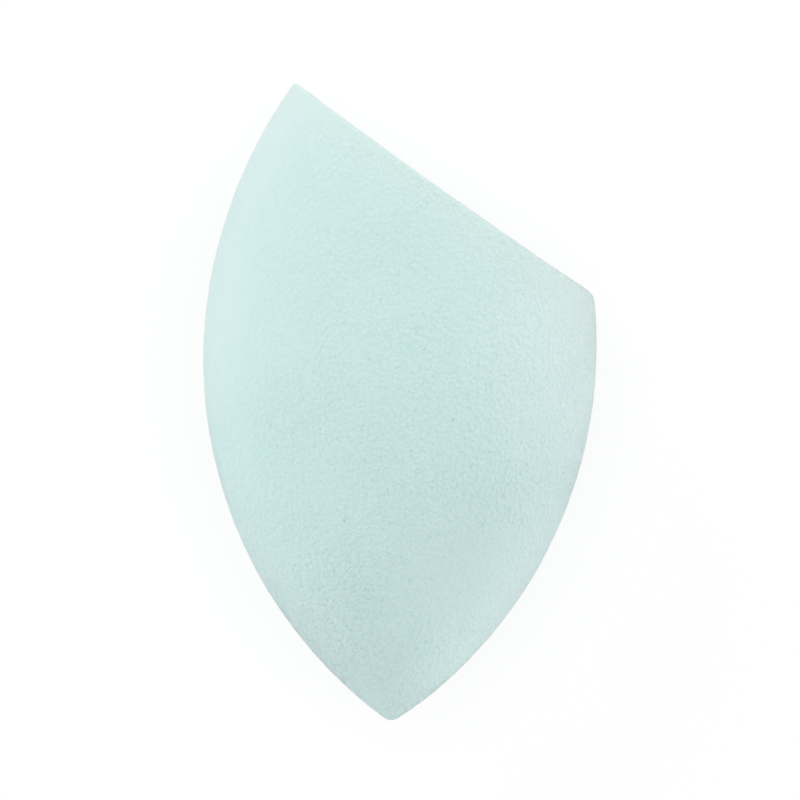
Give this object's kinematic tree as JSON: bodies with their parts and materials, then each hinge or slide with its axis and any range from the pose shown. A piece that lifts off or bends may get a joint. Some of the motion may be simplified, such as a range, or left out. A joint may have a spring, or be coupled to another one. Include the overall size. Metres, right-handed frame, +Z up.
{
  "type": "makeup sponge",
  "caption": "Soft foam makeup blending sponge, a pointed drop with one end cut off flat on a slant.",
  "frame": {"origin": "the middle of the small flat on which the sponge lies, right under the girth", "axes": "+X along the drop's axis from the tip to the cut, -Y towards the low side of the slanted cut, +Z up"},
  "size_m": [0.0647, 0.04, 0.0395],
  "materials": {
    "foam": "matte"
  },
  "bodies": {
    "root": {"foam_body": "foam"}
  },
  "joints": []
}
